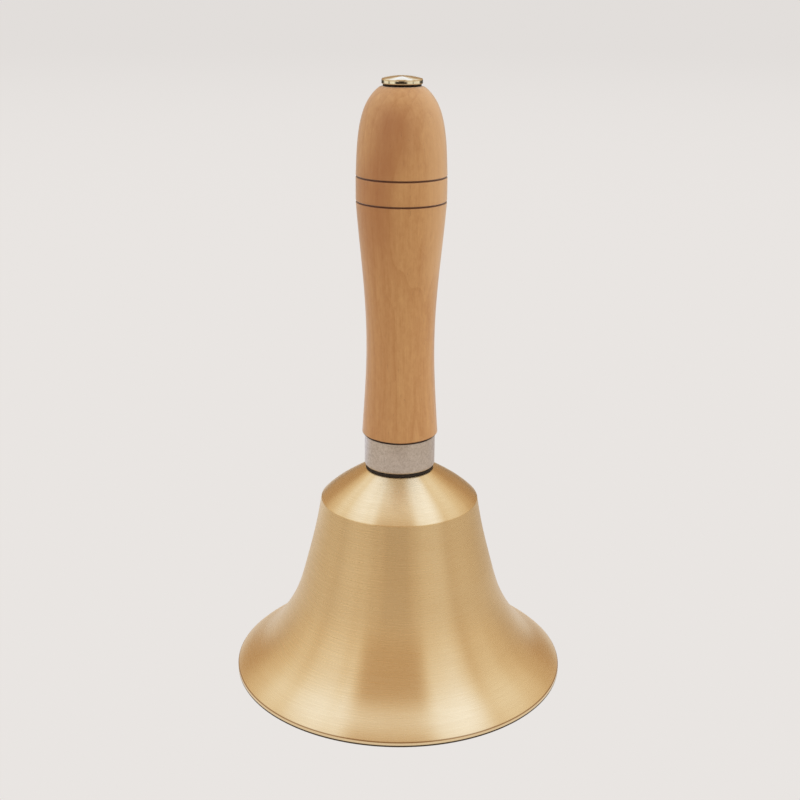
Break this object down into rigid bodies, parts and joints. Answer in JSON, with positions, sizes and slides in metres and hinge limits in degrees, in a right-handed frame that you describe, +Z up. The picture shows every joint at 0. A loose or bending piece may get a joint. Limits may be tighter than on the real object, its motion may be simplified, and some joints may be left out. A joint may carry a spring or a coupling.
{
  "type": "handbell",
  "caption": "Flared brass handbell with a turned wooden handle, a steel ferrule and a ball clapper that swings from a wire link inside.",
  "frame": {"origin": "centre of the bell's mouth, on the plane that the lip rests on", "axes": "+Z up along the handle; the eye bolt's ring lies in the XZ plane and the clapper link hangs in the YZ plane"},
  "size_m": [0.1, 0.1, 0.1784],
  "materials": {
    "bell_brass": "satin, turned with fine rings",
    "fibre_washer": "matt dark fibre",
    "ferrule_steel": "satin, faintly mottled",
    "handle_wood": "satin lacquer over fine straight grain",
    "washer_steel": "satin",
    "cap_nickel": "polished nickel plate",
    "zinc_steel": "bright zinc plate",
    "link_wire": "bright drawn wire",
    "clapper_steel": "satin, oiled"
  },
  "bodies": {
    "root": {"bell_shell": "bell_brass", "crown_washer": "fibre_washer", "ferrule": "ferrule_steel", "handle": "handle_wood", "top_washer": "washer_steel", "top_nut": "cap_nickel", "inner_washer": "washer_steel", "spring_washer": "washer_steel", "crown_nut": "zinc_steel", "eye_bolt": "zinc_steel"},
    "link": {"clapper_link": "link_wire"},
    "clapper": {"clapper_shank": "clapper_steel", "clapper_ball": "clapper_steel"}
  },
  "joints": [
    {"name": "link_twist", "type": "hinge", "parent": "root", "child": "link", "pos_m": [0, 0, 0.04765], "axis": [0, 0, 1], "range_deg": [-38, 38]},
    {"name": "clapper_swing", "type": "hinge", "parent": "link", "child": "clapper", "pos_m": [0, 0, 0.03865], "axis": [0, 1, 0], "range_deg": [-49, 49]}
  ]
}
